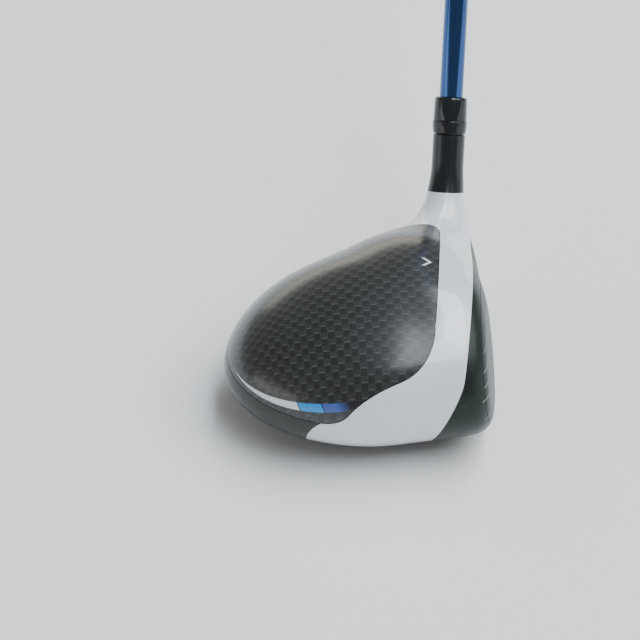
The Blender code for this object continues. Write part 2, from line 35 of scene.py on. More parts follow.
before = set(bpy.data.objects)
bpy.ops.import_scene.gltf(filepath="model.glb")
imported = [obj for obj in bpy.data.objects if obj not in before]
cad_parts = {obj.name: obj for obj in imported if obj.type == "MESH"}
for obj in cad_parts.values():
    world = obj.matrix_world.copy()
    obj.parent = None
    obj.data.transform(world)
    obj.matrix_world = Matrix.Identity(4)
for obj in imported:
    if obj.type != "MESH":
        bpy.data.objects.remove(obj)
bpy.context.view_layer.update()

# --- The head's shape, in millimetres ------------------------------------------------------------

LIE, LOFT = 57.0, 10.5
HOSEL_AXIS = np.array([0.0, math.cos(math.radians(LIE)), math.sin(math.radians(LIE))])
HOSEL_FOOT = np.array([23.3, 35.3, 0.0])
CLUB_LENGTH = 1160.0
TIP_RADIUS, TAPER, TAPER_START = 4.95, 2.65, 190.0
PLAN_RADII = (54.0, 48.0, 57.0, 57.0, 50.0, 56.0, 67.0, 68.0, 58.0, 51.5, 54.0, 64.0)
SKIRT_HEIGHT, SKIRT_SLOPE, CROWN_RISE = 29.6, 0.1, 34.3
BODY_POWER, CROWN_POWER, SOLE_POWER = 2.37, 1.87, 2.09
SOLE_FLAT = 0.35
FACE_X, FACE_Z, FACE_RADIUS, FACE_BLEND = 41.4, 32.0, 300.0, 7.0
NECK_RADIUS, NECK_BLEND, NECK_START = 6.8, 28.0, 30.0
NECK_TOP, FLARE_TOP, HOSEL_TOP = 64.1, 76.0, 88.5
FLARE = 0.55  # what the neck's radius gains between FLARE_TOP and the paint line
BORE_RADIUS, BORE_START, BORE_FULL = 5.65, 42.0, 52.0
PORT_RADIUS, WEIGHT_HOLE = 5.9, 8.55
WEIGHT_X, WEIGHT_Y = -50.0, -4.0
WALL, CROWN_WALL, FACE_WALL, SOLE_WALL, SLOT_WALL = 1.3, 0.9, 2.6, 1.1, 2.0
GAP = 0.26  # width of the groove between two panels
NEAR_NECK = 20.0  # within this of the hosel's axis the casting's inside narrows to the bore

# Lines in plan, as (a, b, c) for a * x + b * y = c.
CROWN_FRONT, CROWN_TOE, CROWN_HEEL_Y = (0.998, -0.07, 16.5), (0.313, -0.95, 42.7), 47.6
CROWN_LOW = 28.8  # z of the crown's lower edge
# Windows in the sole: centre, half of the length and width, and corner radius.
TOE_PANEL = ((-20.0, -28.0), (20.0, 13.0), 7.0)
HEEL_PANEL = ((-16.0, 27.0), (17.0, 12.0), 7.0)
SLOT = ((25.5, -2.0), (3.0, 20.0), 3.0)
PANEL_TOP, SLOT_TOP, WEIGHT_TOP, PORT_TOP = 18.0, 12.0, 25.0, 33.0  # z that their seams stay under

MARCH = 1.5  # grid step of the head's mesh
GRID_LOW, GRID_HIGH = (-72.0, -62.0, -4.0), (46.0, 88.0, 76.0)
SNAP = 0.3  # a vertex nearer to a seam than this share of its shortest edge moves onto it
SLOPE_STEP = 0.05
LEAST_SLOPE = 0.008  # keeps the body's distance finite where its level is flat
ARC_STEPS, QUARTER_STEPS = 4, 8
SOCKET_REACH, SOCKET_LOBES, LOBE_SHARE = 2.1, 6, 0.14
WELD, SHARP_ANGLE = 1e-6, math.radians(32)

FACE_CUP_REAR = 16.0  # the casting in front of this is bare like the face
WHITE, DARK, INSIDE, BARE = range(4)  # the casting's material slots
UP = np.array([0.0, 0.0, 1.0])


def smooth_min(a, b, width):
    share = np.clip(0.5 + 0.5 * (b - a) / width, 0.0, 1.0)
    return b * (1 - share) + a * share - width * share * (1 - share)


def smooth_max(a, b, width):
    return -smooth_min(-a, -b, width)


def plan_radius(angle):
    """The outline's radius at an angle: a wave through PLAN_RADII, evenly spaced round the head."""
    count = len(PLAN_RADII)
    waves = np.fft.rfft(PLAN_RADII) / count
    radius = np.full_like(angle, waves[0].real)
    for k in range(1, count // 2 + 1):
        share = 2.0 if k < count / 2 else 1.0
        radius += share * (waves[k].real * np.cos(k * angle) - waves[k].imag * np.sin(k * angle))
    return radius


def body_level(p):
    angle = np.arctan2(p[..., 1], p[..., 0])
    out = np.hypot(p[..., 0], p[..., 1]) / plan_radius(angle)
    skirt = SKIRT_HEIGHT + SKIRT_SLOPE * p[..., 0]
    above = np.clip((p[..., 2] - skirt) / CROWN_RISE, 0.0, None)
    below = np.clip((skirt - p[..., 2]) / (skirt + SOLE_FLAT), 0.0, None)
    total = out**BODY_POWER + above**CROWN_POWER + below**SOLE_POWER
    return total ** (1 / BODY_POWER) - 1


def gradient(function, p):
    parts = []
    for axis in np.eye(3) * SLOPE_STEP:
        parts.append((function(p + axis) - function(p - axis)) / (2 * SLOPE_STEP))
    return np.stack(parts, axis=-1)


def body_distance(p):
    steepness = np.linalg.norm(gradient(body_level, p), axis=-1)
    return body_level(p) / np.maximum(steepness, LEAST_SLOPE)


def face_distance(p):
    loft = math.radians(LOFT)
    normal = np.array([math.cos(loft), 0.0, math.sin(loft)])
    centre = np.array([FACE_X, 0.0, FACE_Z]) - FACE_RADIUS * normal
    return np.linalg.norm(p - centre, axis=-1) - FACE_RADIUS


def along_hosel(p):
    return (p - HOSEL_FOOT) @ HOSEL_AXIS


def from_hosel(p):
    out = p - HOSEL_FOOT - along_hosel(p)[..., None] * HOSEL_AXIS
    return np.linalg.norm(out, axis=-1)


def flare(height):
    """How far the neck's foot swells past its radius, from FLARE_TOP down to the paint line."""
    share = np.clip((FLARE_TOP - height) / (FLARE_TOP - NECK_TOP), 0.0, 1.0)
    return FLARE * share * share * (3 - 2 * share)


def head_distance(p):
    shell = smooth_max(body_distance(p), face_distance(p), FACE_BLEND)
    height = along_hosel(p)
    neck = smooth_max(from_hosel(p) - NECK_RADIUS - flare(height), NECK_START - height, 2.0)
    blended = smooth_min(shell, neck, NECK_BLEND)
    capped = np.maximum(blended, height - FLARE_TOP - 6.0)
    return np.maximum(capped, -p[..., 2])


def head_normal(p):
    slope = gradient(head_distance, p)
    return slope / np.linalg.norm(slope, axis=-1)[..., None]


def onto_surface(p, rounds=4):
    for _ in range(rounds):
        slope = gradient(head_distance, p)
        p = p - (head_distance(p) / (slope**2).sum(-1))[..., None] * slope
    return p


# --- Seams and paint lines: each is negative inside its own region -------------------------------


def rounded_box(p, centre, half, radius):
    dx = np.abs(p[..., 0] - centre[0]) - half[0] + radius
    dy = np.abs(p[..., 1] - centre[1]) - half[1] + radius
    outside = np.hypot(np.maximum(dx, 0), np.maximum(dy, 0))
    return outside + np.minimum(np.maximum(dx, dy), 0) - radius


def beyond_line(p, line):
    a, b, c = line
    return a * p[..., 0] + b * p[..., 1] - c


def crown_seam(p):
    seam = smooth_max(beyond_line(p, CROWN_FRONT), beyond_line(p, CROWN_TOE), 12.0)
    seam = smooth_max(seam, p[..., 1] - CROWN_HEEL_Y, 8.0)
    return smooth_max(seam, CROWN_LOW - p[..., 2], 6.0)


def face_seam(p):
    return body_distance(p) - face_distance(p) + 1.0


def toe_panel_seam(p):
    return np.maximum(rounded_box(p, *TOE_PANEL), p[..., 2] - PANEL_TOP)


def heel_panel_seam(p):
    return np.maximum(rounded_box(p, *HEEL_PANEL), p[..., 2] - PANEL_TOP)


def slot_seam(p):
    return np.maximum(rounded_box(p, *SLOT), p[..., 2] - SLOT_TOP)


def weight_seam(p):
    out = p - WEIGHT_AT
    out = out - (out @ WEIGHT_AXIS)[..., None] * WEIGHT_AXIS
    return np.maximum(np.linalg.norm(out, axis=-1) - WEIGHT_HOLE, p[..., 2] - WEIGHT_TOP)


def port_seam(p):
    return np.maximum(from_hosel(p) - PORT_RADIUS, p[..., 2] - PORT_TOP)


def neck_seam(p):
    return NECK_TOP - along_hosel(p)


def flare_seam(p):
    return FLARE_TOP - along_hosel(p)


def paint_line(p):
    """Negative on the white paint: the front band of the crown, the neck and the toe."""
    x, y, z = p[..., 0], p[..., 1], p[..., 2]
    low = 0.5 * (45.0 - z + np.sqrt((45.0 - z) ** 2 + 9.0))
    face_side = x - 0.085 * y - 30.7 + 0.36 * low
    heel = np.clip(y / 30.0, 0.0, 1.0)
    rear = -34.0 + 22.0 * heel * heel * (3 - 2 * heel) - x
    tip = 0.8 * (z - 27.0) - 0.6 * (x + 31.4) - 2.0 * np.clip(y + 30.0, 0.0, None)
    above_tip = smooth_max(rear, tip, 6.0)
    return smooth_max(smooth_max(face_side, above_tip, 2.0), 9.0 - z, 4.0)


def cup_line(p):
    """Negative on the front of the casting, which is bare like the face."""
    return FACE_CUP_REAR - p[..., 0]


def sole_above(x, y):
    """The sole's point above (x, y, 0), climbed to by its distance, and its outward normal."""
    p = np.array([x, y, 0.0])
    for _ in range(12):
        p = p + UP * head_distance(p)
    return p, head_normal(p)


WEIGHT_AT, WEIGHT_NORMAL = sole_above(WEIGHT_X, WEIGHT_Y)
WEIGHT_AXIS = -WEIGHT_NORMAL

# --- The skin's mesh ------------------------------------------------------------------------------


def edge_ends(axis):
    """Index slices for the two ends of a grid's edges along one axis."""
    low, high = [slice(None)] * 3, [slice(None)] * 3
    low[axis], high[axis] = slice(0, -1), slice(1, None)
    return tuple(low), tuple(high)


def edges_of_cells(axis, cells, first, second):
    """Index slices for one of the four edges along an axis that each cell has."""
    sides = [k for k in range(3) if k != axis]
    part = [slice(None)] * 3
    part[sides[0]] = slice(first, cells[sides[0]] + first)
    part[sides[1]] = slice(second, cells[sides[1]] + second)
    return tuple(part)


def surface_net():
    """A closed quad mesh of the head: one vertex in each grid cell that the surface crosses."""
    lines = [np.arange(a, b + MARCH, MARCH) for a, b in zip(GRID_LOW, GRID_HIGH)]
    grid = np.stack(np.meshgrid(*lines, indexing="ij"), axis=-1)
    level = head_distance(grid)
    inside = level < 0
    cells = np.array(level.shape) - 1
    total = np.zeros((*cells, 3))
    crossings = np.zeros(cells)
    for axis in range(3):
        near, far = edge_ends(axis)
        crossed = inside[near] != inside[far]
        step = np.where(crossed, level[near] - level[far], 1.0)
        share = np.where(crossed, level[near] / step, 0.0)
        points = grid[near] + share[..., None] * (grid[far] - grid[near])
        for first in (0, 1):
            for second in (0, 1):
                part = edges_of_cells(axis, cells, first, second)
                total += np.where(crossed[part][..., None], points[part], 0.0)
                crossings += crossed[part]
    active = crossings > 0
    index = np.full(active.shape, -1)
    index[active] = np.arange(active.sum())
    verts = total[active] / crossings[active][:, None]
    return onto_surface(verts), net_quads(inside, index)


def net_quads(inside, index):
    """A quad round each grid edge that the surface crosses, turned to face outwards."""
    quads = []
    for axis in range(3):
        first, second = [(1, 2), (2, 0), (0, 1)][axis]
        near, far = edge_ends(axis)
        at = np.argwhere(inside[near] != inside[far])
        ring = []
        for a, b in ((0, 0), (1, 0), (1, 1), (0, 1)):
            cell = at.copy()
            cell[:, first] -= 1 - a
            cell[:, second] -= 1 - b
            ring.append(index[tuple(cell.T)])
        ring = np.stack(ring, axis=1)
        outward = inside[tuple(at.T)]
        quads.append(np.where(outward[:, None], ring, ring[:, ::-1]))
    return np.concatenate(quads)


def split_quads(verts, quads):
    """Two triangles for each quad, split along its shorter diagonal."""
    first = np.linalg.norm(verts[quads[:, 0]] - verts[quads[:, 2]], axis=1)
    second = np.linalg.norm(verts[quads[:, 1]] - verts[quads[:, 3]], axis=1)
    one, two = quads[first <= second], quads[first > second]
    return np.concatenate([one[:, [0, 1, 2]], one[:, [0, 2, 3]], two[:, [0, 1, 3]], two[:, [1, 2, 3]]])


def along_surface(seam, p):
    """The seam's gradient, less its part across the surface."""
    slope = gradient(seam, p)
    normal = head_normal(p)
    return slope - (slope * normal).sum(-1)[..., None] * normal


def onto_seam(seam, p):
    for _ in range(4):
        slope = along_surface(seam, p)
        p = p - (seam(p) / np.maximum((slope**2).sum(-1), 1e-4))[..., None] * slope
        p = onto_surface(p, rounds=2)
    return p


def shortest_edges(verts, faces):
    """The shortest edge at each vertex, and 0 where none of the faces uses it."""
    found = np.full(len(verts), np.inf)
    for a, b in ((0, 1), (1, 2), (2, 0)):
        length = np.linalg.norm(verts[faces[:, a]] - verts[faces[:, b]], axis=1)
        np.minimum.at(found, faces[:, a], length)
        np.minimum.at(found, faces[:, b], length)
    return np.where(np.isinf(found), 0.0, found)


def cut(verts, faces, on_seam, seam, number):
    """Runs an edge loop along a seam: near vertices move onto it, and the other edges are cut.

    on_seam holds the number of the seam that each vertex was put on, or -1.
    """
    level = seam(verts)
    near = (np.abs(level) < SNAP * shortest_edges(verts, faces)) & (on_seam < 0)
    verts[near] = onto_seam(seam, verts[near])
    level[near] = 0.0
    on_seam[near] = number
    signs = np.sign(level)[faces]
    crossed = (signs.min(axis=1) < 0) & (signs.max(axis=1) > 0)
    mids, added, made = {}, [], []
    for face, sign in zip(faces[crossed], signs[crossed]):
        made.extend(split_face(face, sign, verts, level, mids, added))
    if made:
        faces = np.concatenate([faces[~crossed], np.array(made)])
        verts = np.concatenate([verts, onto_seam(seam, np.array(added))])
        on_seam = np.concatenate([on_seam, np.full(len(added), number)])
    return verts, faces, on_seam


def split_face(face, signs, verts, level, mids, added):
    """The two or three triangles that a seam leaves of one it crosses."""

    def middle(a, b):
        key = (min(a, b), max(a, b))
        if key not in mids:
            share = level[a] / (level[a] - level[b])
            mids[key] = len(verts) + len(added)
            added.append(verts[a] + share * (verts[b] - verts[a]))
        return mids[key]

    if 0 in signs:
        a, b, c = np.roll(face, -int(np.where(signs == 0)[0][0]))
        m = middle(b, c)
        return [(a, b, m), (a, m, c)]
    alone = 1 if (signs > 0).sum() == 1 else -1
    a, b, c = np.roll(face, -int(np.where(signs == alone)[0][0]))
    ab, ac = middle(a, b), middle(a, c)
    return [(a, ab, ac), (ab, b, c), (ab, c, ac)]


SEAMS = {
    "crown_panel": crown_seam,
    "face_plate": face_seam,
    "sole_toe_panel": toe_panel_seam,
    "sole_heel_panel": heel_panel_seam,
    "slot_insert": slot_seam,
    "weight_hole": weight_seam,
    "screw_port": port_seam,
    "flare": neck_seam,
    "above_flare": flare_seam,
}
UNGROOVED = ("flare", "above_flare")
PAINT_LINES = (paint_line, cup_line)


def faces_within(seam, number, verts, faces, on_seam):
    """Which faces are on a seam's negative side, with the vertices put on the seam as zero."""
    level = seam(verts)
    level[on_seam == number] = 0.0
    return level[faces].mean(axis=1) < 0


def head_skin():
    """The skin cut at every seam and its casting at the paint lines, with regions and finishes.

    A face's region is its seam's number, or -1 on the casting. Its finish is a material slot.
    """
    verts, quads = surface_net()
    faces = split_quads(verts, quads)
    on_seam = np.full(len(verts), -1)
    for number, seam in enumerate(SEAMS.values()):
        verts, faces, on_seam = cut(verts, faces, on_seam, seam, number)
    region = np.full(len(faces), -1)
    for number, seam in enumerate(SEAMS.values()):
        region[faces_within(seam, number, verts, faces, on_seam)] = number
    casting, panels = faces[region == -1], faces[region != -1]
    for number, line in enumerate(PAINT_LINES, len(SEAMS)):
        verts, casting, on_seam = cut(verts, casting, on_seam, line, number)
    painted, bare = (
        faces_within(line, number, verts, casting, on_seam)
        for number, line in enumerate(PAINT_LINES, len(SEAMS))
    )
    finish = np.where(painted, WHITE, np.where(bare, BARE, DARK))
    finish = np.concatenate([finish, np.zeros(len(panels), int)])
    region = np.concatenate([np.full(len(casting), -1), region[region != -1]])
    return verts, np.concatenate([casting, panels]), on_seam, region, finish


def skin_piece(name, skin, number, wall, materials):
    """One region of the skin as a closed shell of the head, with normals from the shape itself.

    With more than one material, the outside gets its finish, the rim is DARK and the rest INSIDE.
    """
    verts, faces, on_seam, region, finish = skin
    chosen = region == number
    used, tris = np.unique(faces[chosen], return_inverse=True)
    tris = tris.reshape(-1, 3)
    points = verts[used]
    seams = list(SEAMS.values())
    directed = {(a, b) for tri in tris.tolist() for a, b in zip(tri, tri[1:] + tri[:1])}
    rim = sorted((a, b) for a, b in directed if (b, a) not in directed)
    for seam_number in set(on_seam[used]) & set(range(len(seams))):
        at = sorted({a for a, _ in rim if on_seam[used[a]] == seam_number})
        if not at or list(SEAMS)[seam_number] in UNGROOVED:
            continue
        away = along_surface(seams[seam_number], points[at])
        away /= np.linalg.norm(away, axis=1)[:, None]
        way = -1.0 if seam_number == number else 1.0
        points[at] = onto_surface(points[at] + way * away * GAP / 2)
    normals = head_normal(points)
    inner = inner_points(points, wall, number)
    count = len(points)
    sides = [(b, a, a + count, b + count) for a, b in rim]
    lining = (tris[:, ::-1] + count).tolist()
    mesh = bpy.data.meshes.new(name)
    both = np.concatenate([points, inner]) * MM
    mesh.from_pydata(both.tolist(), [], tris.tolist() + sides + lining)
    shade_skin(mesh, normals)
    for made_of in materials:
        mesh.materials.append(made_of)
    if len(materials) > 1:
        index = np.full(len(mesh.polygons), DARK, np.int32)
        index[: len(tris)] = finish[chosen]
        index[len(tris) + len(sides) :] = INSIDE
        mesh.polygons.foreach_set("material_index", index)
    return add_piece(name, mesh, "head")


def shade_skin(mesh, normals):
    """Normals from the shape on the outside, turned over on the lining, and flat on the rim."""
    mesh.shade_smooth()
    totals = np.zeros(len(mesh.polygons), np.int64)
    mesh.polygons.foreach_get("loop_total", totals)
    at = np.zeros(len(mesh.loops), np.int64)
    mesh.loops.foreach_get("vertex_index", at)
    flat = np.zeros((len(mesh.polygons), 3))
    mesh.polygons.foreach_get("normal", flat.reshape(-1))
    face_of = np.repeat(np.arange(len(totals)), totals)
    both = np.concatenate([normals, -normals])
    rim = (totals == 4)[face_of]
    chosen = np.where(rim[:, None], flat[face_of], both[at])
    mesh.normals_split_custom_set(chosen.tolist())


def inner_points(points, wall, number):
    """The lining's points: a wall's thickness in, and drawn to the bore's wall up the neck."""
    inner = points - wall * head_normal(points)
    if number not in (-1, list(SEAMS).index("flare")):
        return inner
    height = along_hosel(points)
    share = np.clip((height - BORE_START) / (BORE_FULL - BORE_START), 0.0, 1.0)
    share = np.where(from_hosel(points) < NEAR_NECK, share * share * (3 - 2 * share), 0.0)
    on_axis = HOSEL_FOOT + height[:, None] * HOSEL_AXIS
    outwards = (points - on_axis) / np.maximum(from_hosel(points), 0.1)[:, None]
    return inner + share[:, None] * (on_axis + outwards * BORE_RADIUS - inner)


# --- Pieces and turned parts ----------------------------------------------------------------------


def add_piece(name, mesh, body, replaced=()):
    obj = bpy.data.objects.new(name, mesh)
    bpy.context.scene.collection.objects.link(obj)
    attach(obj, body)
    if replaced:
        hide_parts(*replaced)
    return obj


def axis_matrix(origin, direction):
    turn = Vector(direction).to_track_quat("Z", "Y").to_matrix().to_4x4()
    return Matrix.Translation(Vector(origin) * MM) @ turn


HOSEL_MATRIX = axis_matrix(HOSEL_FOOT, HOSEL_AXIS)
WEIGHT_MATRIX = axis_matrix(WEIGHT_AT, WEIGHT_AXIS)


def turned(name, profile, made_of, body, replaced, place=HOSEL_MATRIX, steps=96, ripple=None):
    """A closed profile of (radius, height), turned about an axis and placed in the row frame.

    ripple(angle, radius, height) may change the radius round the turn, for splines and sockets.
    """
    rings = []
    for k in range(steps):
        angle = math.tau * k / steps
        ring = []
        for radius, height in profile:
            r = radius if ripple is None or radius == 0 else ripple(angle, radius, height)
            ring.append((r * math.cos(angle) * MM, r * math.sin(angle) * MM, height * MM))
        rings.append(ring)
    count = len(profile)
    verts = [v for ring in rings for v in ring]
    closed = profile[0][0] != 0.0
    faces = []
    for k in range(steps):
        here, there = k * count, (k + 1) % steps * count
        for i in range(count if closed else count - 1):
            j = (i + 1) % count
            faces.append((here + i, here + j, there + j, there + i))
    mesh = bpy.data.meshes.new(name)
    made = bmesh.new()
    mesh.from_pydata(verts, [], faces)
    made.from_mesh(mesh)
    bmesh.ops.remove_doubles(made, verts=made.verts, dist=WELD)
    bmesh.ops.recalc_face_normals(made, faces=made.faces)
    made.to_mesh(mesh)
    made.free()
    mesh.transform(place)
    mesh.shade_smooth()
    mesh.set_sharp_from_angle(angle=SHARP_ANGLE)
    mesh.materials.append(made_of)
    return add_piece(name, mesh, body, replaced)


def quarter_arc(radius, height, reach):
    """Profile points of a quarter turn outwards and down, round a centre at (radius, height)."""
    turns = [math.radians(90 * k / QUARTER_STEPS) for k in range(QUARTER_STEPS + 1)]
    return [(radius + reach * math.sin(t), height + reach * math.cos(t)) for t in turns]


def rounded(points, radius):
    """A profile with its corners rounded off by short curves."""
    made = []
    count = len(points)
    for i, corner in enumerate(points):
        before, after = points[i - 1], points[(i + 1) % count]
        corner_v, before_v, after_v = (np.array(v, float) for v in (corner, before, after))
        to_before, to_after = before_v - corner_v, after_v - corner_v
        reach_b, reach_a = np.linalg.norm(to_before), np.linalg.norm(to_after)
        if corner[0] == 0.0 or min(reach_a, reach_b) < 1e-6:
            made.append(tuple(corner))
            continue
        cut_back = min(radius, 0.4 * reach_b, 0.4 * reach_a)
        start = corner_v + to_before / reach_b * cut_back
        end = corner_v + to_after / reach_a * cut_back
        for k in range(ARC_STEPS + 1):
            s = k / ARC_STEPS
            made.append(tuple((1 - s) ** 2 * start + 2 * s * (1 - s) * corner_v + s * s * end))
    return made


# --- Materials ------------------------------------------------------------------------------------


class Field:
    """A number that varies over a surface, built from math nodes by ordinary arithmetic."""

    def __init__(self, tree, socket):
        self.tree, self.socket = tree, socket

    def op(self, operation, *others, clamp=False):
        node = self.tree.nodes.new("ShaderNodeMath")
        node.operation = operation
        node.use_clamp = clamp
        for slot, value in zip(node.inputs, (self, *others)):
            if isinstance(value, Field):
                self.tree.links.new(value.socket, slot)
            else:
                slot.default_value = value
        return Field(self.tree, node.outputs[0])

    def __add__(self, other):
        return self.op("ADD", other)

    def __sub__(self, other):
        return self.op("SUBTRACT", other)

    def __mul__(self, other):
        return self.op("MULTIPLY", other)

    def __truediv__(self, other):
        return self.op("DIVIDE", other)

    def clamped(self):
        return self.op("ADD", 0.0, clamp=True)

    def abs(self):
        return self.op("ABSOLUTE")

    def max(self, other):
        return self.op("MAXIMUM", other)

    def min(self, other):
        return self.op("MINIMUM", other)

    def fract(self):
        return self.op("FRACT")

    def sin(self):
        return self.op("SINE")

    def below(self, edge, soft):
        """1 where the field is under edge, 0 over it, with a soft step between."""
        return (self * (-1.0 / soft) + (edge / soft + 0.5)).clamped()


class Surface:
    """A material with its Principled shader and its place in the row frame, in millimetres."""

    def __init__(self, name, color, roughness, metallic=0.0, coat=0.0, coat_roughness=0.03):
        self.made = bpy.data.materials.new(name)
        self.made.use_nodes = True
        self.tree = self.made.node_tree
        self.shader = self.tree.nodes["Principled BSDF"]
        self.set("Base Color", (*color, 1.0))
        self.set("Roughness", roughness)
        self.set("Metallic", metallic)
        self.set("Coat Weight", coat)
        self.set("Coat Roughness", coat_roughness)
        place = self.tree.nodes.new("ShaderNodeTexCoord")
        self.place = place.outputs["Object"]
        parts = self.tree.nodes.new("ShaderNodeSeparateXYZ")
        self.tree.links.new(self.place, parts.inputs[0])
        self.x, self.y, self.z = (Field(self.tree, s) * 1000.0 for s in parts.outputs)

    def set(self, socket, value):
        self.shader.inputs[socket].default_value = value

    def link(self, field, socket):
        self.tree.links.new(field.socket, self.shader.inputs[socket])

    def noise(self, scale, detail=3.0):
        """Noise from 0 to 1 whose lumps are about 1/scale of a metre."""
        node = self.tree.nodes.new("ShaderNodeTexNoise")
        node.inputs["Scale"].default_value = scale
        node.inputs["Detail"].default_value = detail
        self.tree.links.new(self.place, node.inputs["Vector"])
        return Field(self.tree, node.outputs[0])

    def streaks(self):
        """Noise drawn out along the hosel's axis."""
        lie = self.tree.nodes.new("ShaderNodeMapping")
        lie.inputs["Rotation"].default_value = (math.radians(90.0 - LIE), 0.0, 0.0)
        squeeze = self.tree.nodes.new("ShaderNodeMapping")
        squeeze.inputs["Scale"].default_value = (1100.0, 1100.0, 25.0)
        noise = self.tree.nodes.new("ShaderNodeTexNoise")
        noise.inputs["Scale"].default_value = 1.0
        self.tree.links.new(self.place, lie.inputs["Vector"])
        self.tree.links.new(lie.outputs[0], squeeze.inputs["Vector"])
        self.tree.links.new(squeeze.outputs[0], noise.inputs["Vector"])
        return Field(self.tree, noise.outputs[0])

    def mix(self, share, first, second):
        """A colour between two: each a colour or an earlier mix's socket."""
        node = self.tree.nodes.new("ShaderNodeMix")
        node.data_type = "RGBA"
        self.tree.links.new(share.socket, node.inputs[0])
        for slot, value in ((node.inputs[6], first), (node.inputs[7], second)):
            if isinstance(value, tuple):
                slot.default_value = (*value, 1.0)
            else:
                self.tree.links.new(value, slot)
        return node.outputs[2]

    def color(self, socket):
        self.tree.links.new(socket, self.shader.inputs["Base Color"])

    def bump(self, height, depth, strength=1.0):
        """Relief of the height field times depth, in millimetres."""
        node = self.tree.nodes.new("ShaderNodeBump")
        node.inputs["Strength"].default_value = strength
        node.inputs["Distance"].default_value = depth * MM
        self.tree.links.new(height.socket, node.inputs["Height"])
        self.tree.links.new(node.outputs[0], self.shader.inputs["Normal"])


def vary(surface, color, other, scale, roughness, spread):
    """Makes a surface's colour and roughness drift a little from place to place."""
    drift = surface.noise(scale)
    surface.color(surface.mix(drift, color, other))
    surface.link(drift * spread + (roughness - spread / 2), "Roughness")


def white_paint():
    """Glossy white lacquer with a faint orange peel, and a patchy painted reflection of the turf low on
    the toe.
    """
    s = Surface("white_lacquer", (0.8, 0.8, 0.82), 0.3, coat=0.9, coat_roughness=0.04)
    drift = s.noise(35.0)
    clean = s.mix(drift, (0.71, 0.73, 0.77), (0.76, 0.77, 0.79))
    # Painted reflection of the turf: the lacquer is darkened in patches low on the toe, and is also
    # rougher there.
    painted_turf_reflection = s.z.below(14.0, 12.0) * s.noise(300.0) * 0.35
    s.color(s.mix(painted_turf_reflection, clean, (0.42, 0.42, 0.38)))
    s.link(drift * 0.08 + painted_turf_reflection * 0.3 + 0.28, "Roughness")
    s.bump(s.noise(700.0, 2.0), 0.006)
    return s.made


def black_gloss(name, color=(0.006, 0.007, 0.008), roughness=0.22, coat=0.25):
    """Polished black with faint streaks along the hosel, and scuffs that dull it in places."""
    s = Surface(name, color, roughness, coat=coat, coat_roughness=0.04)
    s.set("Specular IOR Level", 0.35)
    lines = s.streaks()
    scuff = s.noise(120.0, 4.0).op("POWER", 3.0)
    s.color(s.mix(lines, color, tuple(2.2 * c for c in color)))
    s.link(lines * 0.10 + scuff * 0.3 + (roughness - 0.05), "Roughness")
    s.bump(lines, 0.004)
    return s.made


TOW = 3.1  # width of one tow in the carbon weave
WEAVE_TURN = math.radians(4.0)  # the weave's rows are turned slightly from the club's axes
WEAVE_START = 100.0  # tows from the origin to where counting starts, so that no count is negative
FIBRES = 14.0 * math.pi  # phase of seven lines in each tow


class Weave:
    """A plain weave seen in plan.

    over is 1 where the upper tow runs along x and 0 where it runs along y, and under is the rest.
    u and v are the place inside a crossing's square, from -0.5 to 0.5. fibres draws lines along
    the upper tow, and height is its arch over the one below.
    """

    def __init__(self, s):
        sway = s.noise(25.0, 1.0) - 0.5
        x, y = self.unrolled(s)
        cos, sin = math.cos(WEAVE_TURN) / TOW, math.sin(WEAVE_TURN) / TOW
        across, along = x * cos + y * sin + WEAVE_START, y * cos - x * sin + WEAVE_START
        across, along = across + sway * 0.35, along + sway * 0.35
        self.over = ((across.op("FLOOR") + along.op("FLOOR")) / 2.0).fract() * 2.0
        self.under = self.over * -1.0 + 1.0
        self.u, self.v = across.fract() - 0.5, along.fract() - 0.5
        self.fibres = (self.v * FIBRES).sin() * self.over + (self.u * FIBRES).sin() * self.under
        arch = self.over * (self.u * self.u) + self.under * (self.v * self.v)
        side = self.over * (self.v * self.v) + self.under * (self.u * self.u)
        self.height = (arch * -3.0 + 1.0) * (side.op("POWER", 2.0) * -10.0 + 1.0).max(0.0)

    @staticmethod
    def unrolled(s):
        """Plan coordinates, stretched down the crown's flanks so that the tows keep their width."""
        drop = (s.z * -1.0 + 64.0).max(0.0) * s.z.op("GREATER_THAN", 25.0)
        toeward = (s.y / 22.0).max(-1.0).min(1.0)
        rearward = ((s.x + 8.0) / 45.0).max(-1.0).min(0.0)
        return s.x + drop * rearward * 0.35, s.y + drop * toeward * 0.5


STRIPE_WIDTH = 3.4
STRIPE_REAR, STRIPE_FRONT, STRIPE_HEEL = -64.5, -13.0, -14.0  # x, x and y where it ends
STRIPE_DEEP, STRIPE_BLUE, STRIPE_WHITE = -18.5, -27.4, -38.1  # each colour lies rearward of this


def stripe_masks(s):
    """The band along the crown's toe edge: its outline, and a slanted measure along it."""
    t = s.x + 50.0
    low = t * 0.06 + t * t * 0.0035 + 31.0
    spread = (s.x + 24.0) / 40.0
    width = (spread * spread * -1.0 + 1.0) * STRIPE_WIDTH
    outside = (low - s.z).max(s.z - low - width)
    outside = outside.max(s.x * -1.0 + STRIPE_REAR).max(s.x - STRIPE_FRONT).max(s.y - STRIPE_HEEL)
    return outside.below(0.0, 0.18), s.x + (s.z - 34.0) * 0.55


